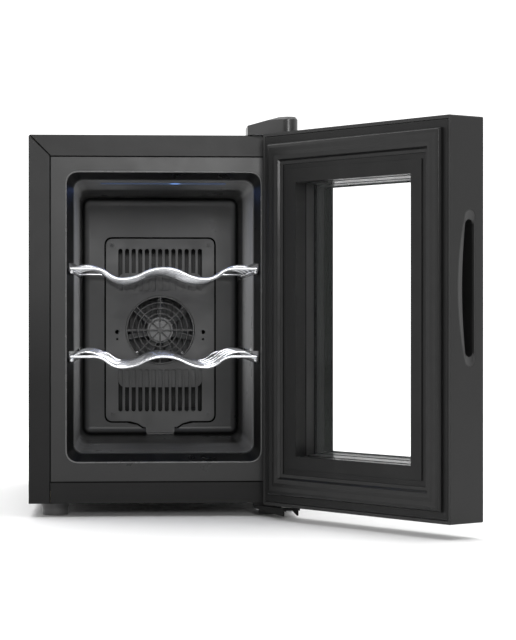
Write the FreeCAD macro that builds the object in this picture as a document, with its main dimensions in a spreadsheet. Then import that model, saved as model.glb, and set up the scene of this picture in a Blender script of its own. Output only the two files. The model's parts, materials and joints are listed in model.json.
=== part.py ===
"""Countertop thermoelectric wine cooler with a hinged glass door, as a parametric document.

Millimetres, +Z up. The origin is on the floor, midway between the four feet. The cabinet's front
faces -Y and the hinge is on the right, at +X. The door stands open by the cell door_angle.
"""
import FreeCAD, Part
import math
import os

import Sketcher
from FreeCAD import Placement, Rotation, Vector

os.makedirs("parts", exist_ok=True)
doc = FreeCAD.newDocument("WineCooler")
sheet = doc.addObject("Spreadsheet::Sheet", "Sizes")
pieces = []


# ---------------------------------------------------------------- sizes and helpers


class Size:
    """A number that also carries the sheet expression that gives it."""

    def __init__(self, value, text=None):
        self.value = float(value)
        self.text = text or repr(float(value))

    def __float__(self):
        return self.value

    def __neg__(self):
        return Size(-self.value, f"-({self.text})")

    def __add__(self, other):
        other = as_size(other)
        return Size(self.value + other.value, f"({self.text} + {other.text})")

    def __sub__(self, other):
        other = as_size(other)
        return Size(self.value - other.value, f"({self.text} - {other.text})")

    def __mul__(self, other):
        other = as_size(other)
        return Size(self.value * other.value, f"({self.text} * {other.text})")

    def __truediv__(self, other):
        other = as_size(other)
        return Size(self.value / other.value, f"({self.text} / {other.text})")

    __radd__ = __add__
    __rmul__ = __mul__

    def __rsub__(self, other):
        return as_size(other) - self


def as_size(number):
    return number if isinstance(number, Size) else Size(number)


def cell(alias, number):
    """Put a plain number in the sheet's next row and return it as a Size."""
    cell.row += 1
    sheet.set(f"A{cell.row}", alias)
    sheet.set(f"B{cell.row}", str(number))
    sheet.setAlias(f"B{cell.row}", alias)
    return Size(number, f"Sizes.{alias}")


cell.row = 0


def bind(thing, prop, size):
    thing.setExpression(prop, as_size(size).text)


def keep(thing, label):
    """Name a finished sub-part after its file."""
    thing.Label = label
    pieces.append(thing)
    return thing


def new_body(label):
    """A body that becomes one sub-part."""
    return keep(doc.addObject("PartDesign::Body", label), label)


def new_shape(label, shape):
    """A sub-part whose shape comes from Part's own functions."""
    feature = doc.addObject("Part::Feature", label)
    feature.Shape = shape
    return keep(feature, label)


def sketch_on(body, plane, level):
    """A sketch parallel to one of the body's own origin planes, at that level of the third axis."""
    support = next(f for f in body.Origin.OriginFeatures if f.Role == plane)
    sketch = body.newObject("Sketcher::SketchObject", body.Name + "_sketch")
    sketch.AttachmentSupport = (support, [""])
    sketch.MapMode = "FlatFace"
    bind(sketch, "AttachmentOffset.Base.z", -level if plane == "XZ_Plane" else as_size(level))
    return sketch


def extrude(body, plane, low, high, draw, cut=False):
    """Pad, or pocket, what draw(sketch) outlines between two levels of the third axis."""
    low, high = as_size(low), as_size(high)
    against_normal = (plane == "XZ_Plane") != cut
    sketch = sketch_on(body, plane, high if against_normal else low)
    draw(sketch)
    kind = "Pocket" if cut else "Pad"
    feature = body.newObject("PartDesign::" + kind, f"{body.Name}_{kind.lower()}")
    feature.Profile = sketch
    bind(feature, "Length", high - low)
    return feature


def pocket(body, plane, low, high, draw):
    return extrude(body, plane, low, high, draw, cut=True)


class Outline:
    """Curves for one sketch with the constraints that tie them to the sheet."""

    def __init__(self, sketch, curves):
        self.sketch = sketch
        self.first = sketch.addGeometry(curves, False)[0]
        self.constraints = []
        self.sizes = {}

    def hold(self, kind, *numbers):
        """Constrain curves, numbered from this outline's first; the last number may be a Size."""
        if isinstance(numbers[-1], Size):
            self.sizes[len(self.constraints)] = numbers[-1]
            numbers = (*numbers[:-1], float(numbers[-1]))
        self.constraints.append(Sketcher.Constraint(kind, *numbers))

    def pin(self, curve, point, across, up):
        """Hold one point of a curve at a place measured from the sketch's origin."""
        self.hold("DistanceX", -1, 1, self.first + curve, point, as_size(across))
        self.hold("DistanceY", -1, 1, self.first + curve, point, as_size(up))

    def finish(self):
        start = self.sketch.addConstraint(self.constraints)[0]
        for place, size in self.sizes.items():
            if "Sizes" in size.text:
                bind(self.sketch, f"Constraints[{start + place}]", size)


def polygon(*points):
    """Draws a closed outline of straight lines through the points."""

    def draw(sketch):
        places = [Vector(float(a), float(b), 0) for a, b in points]
        lines = [Part.LineSegment(p, q) for p, q in zip(places, places[1:] + places[:1])]
        outline = Outline(sketch, lines)
        first, count = outline.first, len(points)
        for n, (across, up) in enumerate(points):
            outline.hold("Coincident", first + n, 2, first + (n + 1) % count, 1)
            outline.pin(n, 1, across, up)
        outline.finish()

    return draw


def rectangle(left, right, low, high, radius=None):
    """Draws a rectangle, with round corners if a radius is given."""
    if radius is None:
        return polygon((left, low), (right, low), (right, high), (left, high))

    def draw(sketch):
        x0, x1, y0, y1, r = (float(v) for v in (left, right, low, high, radius))
        corners = [(x1 - r, y0 + r), (x1 - r, y1 - r), (x0 + r, y1 - r), (x0 + r, y0 + r)]
        ends = [(x0 + r, y0), (x1 - r, y0), (x1, y0 + r), (x1, y1 - r)]
        ends += [(x1 - r, y1), (x0 + r, y1), (x0, y1 - r), (x0, y0 + r)]
        curves = []
        for n, centre in enumerate(corners):
            curves.append(Part.LineSegment(Vector(*ends[2 * n], 0), Vector(*ends[2 * n + 1], 0)))
            turn = math.pi / 2 * (n - 1)
            circle = Part.Circle(Vector(*centre, 0), Vector(0, 0, 1), r)
            curves.append(Part.ArcOfCircle(circle, turn, turn + math.pi / 2))
        outline = Outline(sketch, curves)
        first = outline.first
        for n in range(8):
            outline.hold("Tangent", first + n, 2, first + (n + 1) % 8, 1)
        for n, kind in enumerate(("Horizontal", "Vertical", "Horizontal")):
            outline.hold(kind, first + 2 * n)
        for n in (3, 5, 7):
            outline.hold("Equal", first + 1, first + n)
        outline.hold("Radius", first + 1, as_size(radius))
        outline.hold("DistanceY", -1, 1, first, 1, as_size(low))
        outline.hold("DistanceX", -1, 1, first + 2, 1, as_size(right))
        outline.hold("DistanceY", -1, 1, first + 4, 1, as_size(high))
        outline.hold("DistanceX", -1, 1, first + 6, 1, as_size(left))
        outline.finish()

    return draw


def disc(across, up, radius):
    """Draws a circle."""

    def draw(sketch):
        circle = Part.Circle(Vector(float(across), float(up), 0), Vector(0, 0, 1), float(radius))
        outline = Outline(sketch, [circle])
        outline.pin(0, 3, across, up)
        outline.hold("Radius", outline.first, as_size(radius))
        outline.finish()

    return draw


def together(*draws):
    """Draws several outlines in one sketch."""

    def draw(sketch):
        for one in draws:
            one(sketch)

    return draw


def frame_outline(half_width, low, high, inset, radius=None):
    """A rectangle centred on X = 0, moved in from the sides, bottom and top by the inset."""
    return rectangle(inset - half_width, half_width - inset, low + inset, high - inset, radius)


def rod(start, stop, radius):
    """A round bar between two points."""
    along = stop - start
    return Part.makeCylinder(radius, along.Length, start, along)


# ---------------------------------------------------------------- driving dimensions

width = cell("cabinet_width", 252)
depth = cell("cabinet_depth", 460)
height = cell("cabinet_height", 344)
steel = cell("sheet_steel", 0.8)
bend = cell("sheet_bend", 2)
bar = cell("front_bar_width", 20)
seam = cell("seam_gap", 0.2)
rear_flange = cell("rear_flange_width", 12)

foot_height = cell("foot_height", 12.5)
foot_radius = cell("foot_radius", 12.2)
foot_top_radius = cell("foot_top_radius", 13.1)
foot_x = cell("foot_spacing_half_x", 102.3)
foot_y = cell("foot_spacing_half_y", 200)
foot_stem = cell("foot_stem_radius", 4)
tread_height = cell("foot_tread_height", 6)

liner_wall = cell("liner_wall", 2.2)
mouth_width = cell("mouth_width", 182)
mouth_low = cell("mouth_low", 51)
mouth_high = cell("mouth_high", 322)
mouth_corner = cell("mouth_corner", 12)
cavity_width = cell("cavity_width", 168)
cavity_low = cell("cavity_low", 59)
cavity_high = cell("cavity_high", 315)
cavity_corner = cell("cavity_corner", 8.5)
cavity_back = cell("cavity_back", 100)
back_fillet = cell("back_fillet", 8)
flare_depth = cell("flare_depth", 17)
ledge_depth = cell("cover_ledge_depth", 3)
recess_back = cell("recess_back", 147)
recess_width = cell("recess_width", 108)
recess_low = cell("recess_low", 78)
recess_high = cell("recess_high", 266.6)

cover_width = cell("cover_width", 117.5)
cover_low = cell("cover_low", 73.3)
cover_high = cell("cover_high", 271.3)
cover_corner = cell("cover_corner", 7)
cover_sheet = cell("cover_thickness", 2.5)
slot_pitch = cell("slot_pitch", 7.18)
slot_width = cell("slot_width", 4.4)
slot_height = cell("slot_height", 45.8)
slots_in_row = 13

fan_level = cell("fan_level", 172)
guard_radius = cell("guard_radius", 37.2)
shaft_radius = cell("fan_shaft_radius", 1.5)
shaft_clearance = cell("shaft_clearance", 0.05)
module_size = cell("module_size", 40)
module_screw = cell("module_screw_half_pitch", 25)
foam_back = cell("foam_back", 171)

shelf_half_width = cell("shelf_half_width", 87)
wire_radius = cell("wire_radius", 1.5)
rod_radius = cell("rod_radius", 2)
rod_drop = cell("rod_drop", 3.2)
rod_x = cell("rod_half_spacing", 86)
valley_x = cell("valley_half_spacing", 39.2)
valley_depth = cell("valley_depth", 10)
flat_start = cell("flat_start", 65.7)
crest_x = cell("crest_half_spacing", 74)
crest_rise = cell("crest_rise", 3.5)
shelf_front = cell("shelf_front", -226)
shelf_length = cell("shelf_length", 300)
groove_half_width = cell("groove_half_width", 88.8)
groove_under = cell("groove_under_wire", 5.6)
groove_over = cell("groove_over_wire", 5)
shelf_levels = {"upper": cell("upper_shelf_level", 232), "lower": cell("lower_shelf_level", 149.6)}
wires_in_shelf = 6

door_gap = cell("door_gap", 5)
door_depth = cell("door_depth", 37.4)
door_low = cell("door_low", 13.2)
door_high = cell("door_high", 355.7)
door_wall = cell("door_wall", 2.5)
door_rim = cell("door_rim", 3)
door_angle = cell("door_angle", 125)
window_half = cell("window_half_width", 77.5)
window_low = cell("window_low", 60.2)
window_high = cell("window_high", 308.7)
glass_overlap = cell("glass_overlap", 8.7)
pane_inner = cell("inner_pane", 2.3)
pane_middle = cell("middle_pane", 3)
pane_front = cell("front_pane", 3.2)
gap_inner = cell("inner_pane_gap", 9.6)
gasket_inset = cell("gasket_inset", 10)
gasket_width = cell("gasket_width", 20)
gasket_proud = cell("gasket_proud", 4.5)

hinge_x = cell("hinge_x", 114.65)
hinge_y = cell("hinge_y", -255.7)
hinge_pin = cell("hinge_pin_radius", 3)
bush_radius = cell("hinge_bush_radius", 5)
bush_length = cell("hinge_bush_length", 18)
hinge_plate = cell("hinge_plate", 2)
bracket_low = cell("bracket_low", 7.9)
bracket_plate = cell("bracket_plate", 2.5)
cap_radius = cell("hinge_cap_radius", 8.6)
cap_height = cell("hinge_cap_height", 15)

scoop_front = cell("handle_setback", 9.5)
scoop_width = cell("handle_scoop_width", 20)
scoop_half = cell("handle_scoop_half_height", 66.2)
scoop_cap = cell("handle_scoop_cap", 6)
slot_bow_width = cell("handle_slot_width", 12.6)
slot_half = cell("handle_slot_half_height", 57.8)
slot_cap = cell("handle_slot_cap", 4.5)
handle_level = cell("handle_level", 211)
handle_depth = cell("handle_depth", 22)

inlet_x = cell("inlet_x", 88)
inlet_level = cell("inlet_level", 40)

half = width / 2
front = -depth / 2
rear = depth / 2
base = foot_height
top = foot_height + height
inside = half - steel
liner_face = front + 0.1
flare_end = front + flare_depth
inner_face = front - door_gap
outer_face = inner_face - door_depth
glass_back = outer_face + pane_front
feet = {
    "front_left": (-foot_x, -foot_y),
    "front_right": (foot_x, -foot_y),
    "rear_left": (-foot_x, foot_y),
    "rear_right": (foot_x, foot_y),
}
bracket_screws = [(90, -222), (119, -222)]
plate_screws = [(92, -206), (112, -206)]


# ---------------------------------------------------------------- cabinet shell


def outer_wrap():
    """Steel sheet bent over both sides and the top, with bars turned in at the front and back."""
    body = new_body("outer_wrap")
    below = base - bend * 3
    back_sheet = rear - steel - 1
    extrude(body, "XZ_Plane", front, rear, rectangle(-half, half, base - bend, top, bend))
    room = rectangle(-inside, inside, below, top - steel, bend - steel)
    pocket(body, "XZ_Plane", front + steel, back_sheet, room)
    opening = rectangle(bar - half, half - bar, below, top - bar)
    pocket(body, "XZ_Plane", front, front + steel, opening)
    for side in (-1, 1):
        pocket(body, "XZ_Plane", front, front + steel, mitre_seam(side))
    reach = half - rear_flange
    pocket(body, "XZ_Plane", back_sheet, rear, rectangle(-reach, reach, below, top - rear_flange))
    pocket(body, "XZ_Plane", rear - 1, rear, rectangle(-inside, inside, below, top - steel))
    pocket(body, "XZ_Plane", front, rear, rectangle(-half - 1, half + 1, below, base))
    holes = together(*(disc(x, y, Size(2.1)) for x, y in plate_screws))
    pocket(body, "XY_Plane", top - steel, top, holes)
    pocket(body, "XZ_Plane", back_sheet, rear - 1, panel_holes())


def mitre_seam(side):
    """Narrow slit along a top corner's diagonal, where the front bars meet."""
    outer, inner, nudge = 3, bar + 0.4, 0.12
    return polygon(
        (side * (half - outer + nudge), top - outer - nudge),
        (side * (half - outer - nudge), top - outer + nudge),
        (side * (half - inner - nudge), top - inner + nudge),
        (side * (half - inner + nudge), top - inner - nudge),
    )


def base_pan():
    """Steel floor with the bottom front bar, side flanges, foot holes and air slots at the back."""
    body = new_body("base_pan")
    reach = inside - seam
    bar_reach = half - bar - seam
    floor = base + steel
    plate = rectangle(-reach, reach, front + steel + seam, rear - steel - 1 - seam)
    extrude(body, "XY_Plane", base, floor, plate)
    extrude(body, "XY_Plane", base, floor, rectangle(-bar_reach, bar_reach, front, front + steel * 2))
    bar_top = base + bar - seam
    extrude(body, "XZ_Plane", front, front + steel, rectangle(-bar_reach, bar_reach, base, bar_top))
    for low, high in ((-reach, steel - reach), (reach - steel, reach)):
        side = rectangle(front + steel + seam, rear - steel - 1 - seam, base, base + 15)
        extrude(body, "YZ_Plane", low, high, side)
    stems = [disc(x, y, foot_stem + 0.2) for x, y in feet.values()]
    screws = [disc(x, y, Size(2.1)) for x, y in bracket_screws]
    pocket(body, "XY_Plane", base, floor, together(*stems, *screws))
    slot_rows((body, "XY_Plane", base, floor), -72, Size(180), Size(216), 144, 19)


def slot_rows(place, left, low, high, length, count):
    """Round-ended slots 4 wide, repeated across X from left over the length."""
    body, plane, bottom, up = place
    slot = pocket(body, plane, bottom, up, rectangle(left - 2, left + 2, low, high, Size(1.9)))
    repeat_across(body, slot, Size(length), count)


def rear_panel():
    """Back sheet with a round fan grille, a row of outlet slots and the mains inlet's cut-out."""
    body = new_body("rear_panel")
    reach = inside - 0.3
    low, high = rear - 1, rear - 1 + steel
    extrude(body, "XZ_Plane", low, high, rectangle(-reach, reach, base + 1, top - steel - 0.3))
    slot_rows((body, "XZ_Plane", low, high), -40, fan_level - 42, fan_level + 42, 80, 11)
    slot_rows((body, "XZ_Plane", low, high), -72, Size(262), Size(300), 144, 19)
    cut_out = rectangle(inlet_x - 14.2, inlet_x + 14.2, inlet_level - 10.2, inlet_level + 10.2, Size(1))
    pocket(body, "XZ_Plane", low, high, cut_out)
    pocket(body, "XZ_Plane", low, high, panel_holes())


def panel_screws():
    """Six screws around the back panel, as X and Z."""
    return [(x, z) for x in (-118, 118) for z in (30, 184, 344)]


def panel_holes():
    return together(*(disc(x, z, Size(1.7)) for x, z in panel_screws()))


def cavity_outline(grow, radius_grow):
    reach = cavity_width / 2 + grow
    return rectangle(-reach, reach, cavity_low - grow, cavity_high + grow, cavity_corner + radius_grow)


def mouth_outline(grow):
    reach = mouth_width / 2 + grow
    return rectangle(-reach, reach, mouth_low - grow, mouth_high + grow, mouth_corner + grow)


def liner_rooms(body, grow, cut=False):
    """The liner's rooms, widened by grow: flared mouth, cavity, shelf grooves, ledge and recess."""
    sections = []
    for level, draw in ((liner_face, mouth_outline(grow)), (flare_end, cavity_outline(grow, grow))):
        sketch = sketch_on(body, "XZ_Plane", level)
        draw(sketch)
        sections.append(sketch)
    kind = "PartDesign::SubtractiveLoft" if cut else "PartDesign::AdditiveLoft"
    flare = body.newObject(kind, body.Name + "_flare")
    flare.Profile = sections[0]
    flare.Sections = sections[1:]
    flare.Ruled = True
    extrude(body, "XZ_Plane", flare_end, cavity_back + grow, cavity_outline(grow, grow), cut)
    if cut and not float(grow):
        round_back_corner(body)
    for level in shelf_levels.values():
        reach = groove_half_width + grow
        sides = rectangle(-reach, reach, level - groove_under - grow, level + groove_over + grow)
        extrude(body, "XZ_Plane", liner_face, cavity_back - 16 + grow, sides, cut)
    ledge = cover_width / 2 + 1 + grow
    seat = rectangle(-ledge, ledge, cover_low - 1 - grow, cover_high + 1 + grow, cover_corner + 1)
    extrude(body, "XZ_Plane", cavity_back, cavity_back + ledge_depth + grow, seat, cut)
    neck = neck_outline(grow + 1, cavity_low - grow)
    extrude(body, "XZ_Plane", cavity_back, cavity_back + ledge_depth + grow, neck, cut)
    reach = recess_width / 2 + grow
    well = rectangle(-reach, reach, recess_low - grow, recess_high + grow, Size(4))
    extrude(body, "XZ_Plane", cavity_back, recess_back + grow, well, cut)


def round_back_corner(body):
    """Round the edge where the cavity's walls meet its back."""
    doc.recompute()
    tip = body.Tip
    reach = float(cavity_width) / 2 + 0.01
    names = []
    for n, edge in enumerate(tip.Shape.Edges, 1):
        box = edge.BoundBox
        on_back = abs(box.YMin - float(cavity_back)) < 1e-4 and abs(box.YMax - box.YMin) < 1e-4
        if on_back and -reach < box.XMin and box.XMax < reach:
            names.append(f"Edge{n}")
    fillet = body.newObject("PartDesign::Fillet", body.Name + "_back_fillet")
    fillet.Base = (tip, names)
    bind(fillet, "Radius", back_fillet)


def inner_liner():
    """Moulded plastic tub with its front face, shelf grooves, cover seat and light slot."""
    body = new_body("inner_liner")
    reach = half - bar - seam
    face = rectangle(-reach, reach, base + bar + seam, top - bar - seam)
    extrude(body, "XZ_Plane", liner_face, liner_face + 2, face)
    tongue = rectangle(-reach - 8, reach + 8, base + bar - 8, top - bar + 8)
    extrude(body, "XZ_Plane", front + steel + 0.1, liner_face + 2, tongue)
    liner_rooms(body, liner_wall)
    liner_rooms(body, Size(0), cut=True)
    drain = rectangle(-15.5, 15.5, cavity_low, cover_low - 1)
    pocket(body, "XZ_Plane", cavity_back - back_fillet, cavity_back, drain)
    seat = cavity_back + ledge_depth
    posts = together(*(disc(x, z, Size(4)) for x, z in cover_screw_places()))
    extrude(body, "XZ_Plane", seat, recess_back + 1, posts)
    holes = together(*(disc(x, z, Size(1.7)) for x, z in cover_screw_places()))
    pocket(body, "XZ_Plane", seat, seat + 8, holes)
    light = rectangle(-60.5, 60.5, -173.5, -160.5, Size(2))
    pocket(body, "XY_Plane", cavity_high, cavity_high + liner_wall, light)
    reach = module_size / 2 + 1
    block = rectangle(-reach, reach, fan_level - reach, fan_level + reach)
    pocket(body, "XZ_Plane", recess_back, recess_back + liner_wall, together(block, *module_holes(1.7)))


def module_holes(radius):
    """The four screws that clamp the cooling module, as circles about the fan's axis."""
    return [
        disc(sx * module_screw, fan_level + sz * module_screw, Size(radius))
        for sx in (-1, 1)
        for sz in (-1, 1)
    ]


def foam_insulation():
    """Foam between the steel shell and the liner, ending ahead of the machine space."""
    body = new_body("foam_insulation")
    reach = inside - steel - seam * 2
    block = rectangle(-reach, reach, base + steel + seam, top - steel - seam)
    extrude(body, "XZ_Plane", liner_face + 2.1, foam_back, block)
    liner_rooms(body, liner_wall + 0.2, cut=True)
    reach = module_size / 2 + 10.5
    seal = rectangle(-reach, reach, fan_level - reach, fan_level + reach)
    pocket(body, "XZ_Plane", recess_back, foam_back, seal)
    light = rectangle(-64, 64, -177, -157)
    pocket(body, "XY_Plane", cavity_high, cavity_high + 8, light)
    under = [disc(x, y, foot_stem + 3) for x, y in feet.values() if float(y) < 0]
    under += [disc(x, y, Size(3)) for x, y in bracket_screws]
    pocket(body, "XY_Plane", base, base + 12, together(*under))
    over = together(*(disc(x, y, Size(3)) for x, y in plate_screws))
    pocket(body, "XY_Plane", top - 14, top, over)


def foot(place, centre):
    """Push-in rubber foot: straight tread with an eased edge, flared top and a stem."""
    body = new_body("foot_" + place)
    across, along = centre
    eased = 0.4
    taper(body, centre, (0, foot_radius - eased), (eased, foot_radius))
    extrude(body, "XY_Plane", eased, tread_height, disc(across, along, foot_radius))
    taper(body, centre, (tread_height, foot_radius), (foot_height, foot_top_radius))
    extrude(body, "XY_Plane", foot_height, foot_height + 5, disc(across, along, foot_stem))


def taper(body, centre, low_ring, high_ring):
    """Cone frustum on an upright axis, each ring given as a level and a radius."""
    sections = []
    for level, radius in (low_ring, high_ring):
        sketch = sketch_on(body, "XY_Plane", level)
        disc(*centre, radius)(sketch)
        sections.append(sketch)
    cone = body.newObject("PartDesign::AdditiveLoft", body.Name + "_taper")
    cone.Profile = sections[0]
    cone.Sections = sections[1:]


# ---------------------------------------------------------------- cooling parts


def neck_outline(grow, end):
    """The cover's neck, which narrows to the drain tongue and stops at end, widened by grow."""
    right = [
        (14.5 + grow, end),
        (17 + grow, cover_low - 7.3 - grow),
        (24 + grow, cover_low - 2.6 - grow),
        (35.5 + grow, cover_low + 1 - grow),
    ]
    return polygon(*right, *((-x, z) for x, z in reversed(right)))


def cover_screw_places():
    """One screw near each corner of the cover, as X and Z."""
    return [(x, z) for x in (-52, 52) for z in (80.5, 264)]


def fan_cover():
    """Panel over the cold side: two rows of slots, the fan's hole and a drain tongue to the floor."""
    body = new_body("fan_cover")
    reach = cover_width / 2
    low, high = cavity_back + 0.2, cavity_back + 0.2 + cover_sheet
    extrude(body, "XZ_Plane", low, high, rectangle(-reach, reach, cover_low, cover_high, cover_corner))
    foot_level = cavity_low + 0.3
    extrude(body, "XZ_Plane", low, high, neck_outline(Size(0), foot_level))
    sill = rectangle(-14.5, 14.5, cavity_back - back_fillet + 0.4, low)
    extrude(body, "XY_Plane", foot_level, foot_level + 1.6, sill)
    pocket(body, "XZ_Plane", low, high, disc(0, fan_level, guard_radius + 0.3))
    holes = [disc(x, z, Size(1.7)) for x, z in cover_screw_places()]
    for x in (-46.6, 46.6):
        holes += [disc(x, fan_level - 2, Size(2.2)), disc(x, fan_level - 9.7, Size(1.2))]
    pocket(body, "XZ_Plane", low, high, together(*holes))
    start = -slot_pitch * ((slots_in_row - 1) / 2)
    rows = []
    for bottom in (Size(83.6), Size(214.6)):
        left, right = start - slot_width / 2, start + slot_width / 2
        rows.append(rectangle(left, right, bottom, bottom + slot_height, slot_width * 0.49))
    first = pocket(body, "XZ_Plane", low, high, together(*rows))
    repeat_across(body, first, slot_pitch * (slots_in_row - 1), slots_in_row)


def repeat_across(body, feature, length, count):
    """Repeat a feature along the row's X axis."""
    pattern = body.newObject("PartDesign::LinearPattern", body.Name + "_pattern")
    pattern.Originals = [feature]
    across = next(f for f in body.Origin.OriginFeatures if f.Role == "X_Axis")
    pattern.Direction = (across, [""])
    bind(pattern, "Length", length)
    pattern.Occurrences = count
    body.Tip = pattern


def inner_fan_guard():
    """Round web of rings and spokes in the cover's hole."""
    body = new_body("inner_fan_guard")
    low, high = cavity_back + 0.3, cavity_back + 2.3
    rings = [disc(0, fan_level, guard_radius), disc(0, fan_level, guard_radius - 1.6)]
    for radius in (30.5, 24.5, 18.5, 12.5):
        rings += [disc(0, fan_level, Size(radius)), disc(0, fan_level, Size(radius - 1.1))]
    rings.append(disc(0, fan_level, Size(2.6)))
    extrude(body, "XZ_Plane", low, high, together(*rings))
    reach = guard_radius - 0.8
    for turn in (0, 45, 90, 135):
        c, s = math.cos(math.radians(turn)), math.sin(math.radians(turn))
        corners = [(reach * a * c - b * s, fan_level + (reach * a * s + b * c))
                   for a, b in ((-1, -0.6), (1, -0.6), (1, 0.6), (-1, 0.6))]
        extrude(body, "XZ_Plane", low, high, polygon(*corners))


def fan_frame(label, low, high, size, bore, hub):
    """Fan housing, as wide and high as size says, whose motor seat is held by struts at the back."""
    body = new_body(label)
    across, up = (Size(length) / 2 for length in size)
    sides = rectangle(-across, across, fan_level - up, fan_level + up, Size(8))
    extrude(body, "XZ_Plane", low, high, sides)
    pocket(body, "XZ_Plane", low, high, disc(0, fan_level, Size(bore)))
    seat = high - 2
    extrude(body, "XZ_Plane", seat, high, disc(0, fan_level, Size(hub)))
    span = Size(bore + 1.5)
    extrude(body, "XZ_Plane", seat, high, rectangle(-span, span, fan_level - 1.5, fan_level + 1.5))
    extrude(body, "XZ_Plane", seat, high, rectangle(-1.5, 1.5, fan_level - span, fan_level + span))
    pocket(body, "XZ_Plane", seat, high, disc(0, fan_level, shaft_radius + shaft_clearance))
    return body


def fan_rotor(label, low, high, hub, tip, blades, shaft_end):
    """Fan wheel: a hub cup with pitched blades, and a shaft that runs in the frame's seat."""
    axis = Vector(0, 1, 0)
    centre = Vector(0, low, float(fan_level))
    wheel = Part.makeCylinder(hub, high - low, centre, axis)
    middle = (low + high) / 2
    chord = (high - low) * 0.62
    for n in range(blades):
        root, end = (blade_section(radius, middle, chord, pitch)
                     for radius, pitch in ((hub - 1, 52), (tip, 32)))
        blade = Part.makeLoft([root, end], True, True)
        wheel = wheel.fuse(blade.rotate(Vector(0, 0, float(fan_level)), axis, 360 * n / blades))
    wheel = wheel.common(Part.makeCylinder(tip, high - low, centre, axis))
    shaft = Part.makeCylinder(float(shaft_radius), shaft_end - low, centre, axis)
    return new_shape(label, wheel.fuse(shaft).removeSplitter())


def blade_section(radius, middle, chord, pitch):
    """A thin four-sided section of a fan blade, standing across the radius."""
    along = Vector(0, math.sin(math.radians(90 - pitch)), 0)
    across = Vector(math.cos(math.radians(90 - pitch)), 0, 0)
    lean = along * chord + across * chord * 0.9
    thick = Vector(0.9, -0.5, 0)
    centre = Vector(0, middle, float(fan_level) + radius)
    corners = [centre - lean / 2, centre + lean / 2, centre + lean / 2 + thick, centre - lean / 2 + thick]
    return Part.makePolygon(corners + corners[:1])


def heat_sink(label, base_low, base_high, fin_low, fin_high, side, fins, head_room):
    """Plate with upright fins across it, the clamping screws' holes and room for their heads."""
    body = new_body(label)
    reach = Size(side) / 2
    low, high = fan_level - reach, fan_level + reach
    extrude(body, "XZ_Plane", base_low, base_high, rectangle(-reach, reach, low, high))
    fin = extrude(body, "XZ_Plane", fin_low, fin_high, rectangle(-reach, -reach + 1, low, high))
    repeat_across(body, fin, reach * 2 - 1, fins)
    pocket(body, "XZ_Plane", base_low, base_high, together(*module_holes(1.7)))
    pocket(body, "XZ_Plane", fin_low, fin_high, together(*module_holes(head_room)))


def module_block(label, low, high):
    """Square block on the cooling module's axis."""
    body = new_body(label)
    reach = module_size / 2
    extrude(body, "XZ_Plane", low, high, rectangle(-reach, reach, fan_level - reach, fan_level + reach))


def module_seal():
    """Foam gasket around the cold block and the thermoelectric module."""
    body = new_body("module_seal")
    outer, inner = module_size / 2 + 10, module_size / 2 + 0.3
    ring = together(
        rectangle(-outer, outer, fan_level - outer, fan_level + outer),
        rectangle(-inner, inner, fan_level - inner, fan_level + inner),
        *module_holes(1.7),
    )
    extrude(body, "XZ_Plane", recess_back + liner_wall + 0.1, 171.7, ring)


def light_lens():
    """Clear strip in the cavity's ceiling."""
    body = new_body("light_lens")
    lens = rectangle(-60.2, 60.2, -173.2, -160.8, Size(2))
    extrude(body, "XY_Plane", cavity_high - 0.4, cavity_high + 1.8, lens)


def led_board():
    """Light board above the lens, with its lamps facing down."""
    body = new_body("led_board")
    level = cavity_high + 5
    extrude(body, "XY_Plane", level, level + 1.2, rectangle(-58, 58, -171, -163))
    lamp = extrude(body, "XY_Plane", level - 1.4, level, rectangle(-52.5, -47.5, -169.5, -164.5))
    repeat_across(body, lamp, Size(100), 6)


def temperature_sensor():
    """Bead sensor behind the cover's lower slots."""
    bead = Part.makeCylinder(2.5, 18, Vector(20, 110, 84), Vector(1, 0, 0))
    tip = Part.makeSphere(2.5, Vector(20, 110, 84))
    new_shape("temperature_sensor", bead.fuse(tip))


# ---------------------------------------------------------------- power parts


def power_supply():
    """Supply in the foot of the machine space: tray, board and the board's large parts."""
    tray = new_body("power_supply_tray")
    floor = base + steel + 0.2
    extrude(tray, "XY_Plane", floor, floor + 22, rectangle(-112, 40, 176, 224, Size(2)))
    pocket(tray, "XY_Plane", floor + 1, floor + 22, rectangle(-111, 39, 177, 223, Size(1.5)))
    for x, y in supply_posts():
        extrude(tray, "XY_Plane", floor, floor + 5, disc(x, y, Size(3)))
    pocket(tray, "XY_Plane", floor, floor + 1, disc(*feet["rear_left"], foot_stem + 0.4))
    board = new_body("power_supply_board")
    extrude(board, "XY_Plane", floor + 5, floor + 6.6, rectangle(-109, 37, 179, 221))
    level = float(floor) + 6.6
    coil = Part.makeBox(30, 26, 26, Vector(-60, 187, level))
    sink = Part.makeBox(4, 36, 24, Vector(-22, 182, level))
    big_can = Part.makeCylinder(9, 25, Vector(-92, 200, level))
    small_cans = [Part.makeCylinder(5, 16, Vector(x, 191, level)) for x in (-4, 10)]
    relay = Part.makeBox(18, 12, 14, Vector(-8, 203, level))
    parts = Part.makeCompound([coil, sink, big_can, relay, *small_cans])
    new_shape("power_supply_components", parts)


def supply_posts():
    return [(x, y) for x in (-103, 31) for y in (184, 216)]


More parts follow.
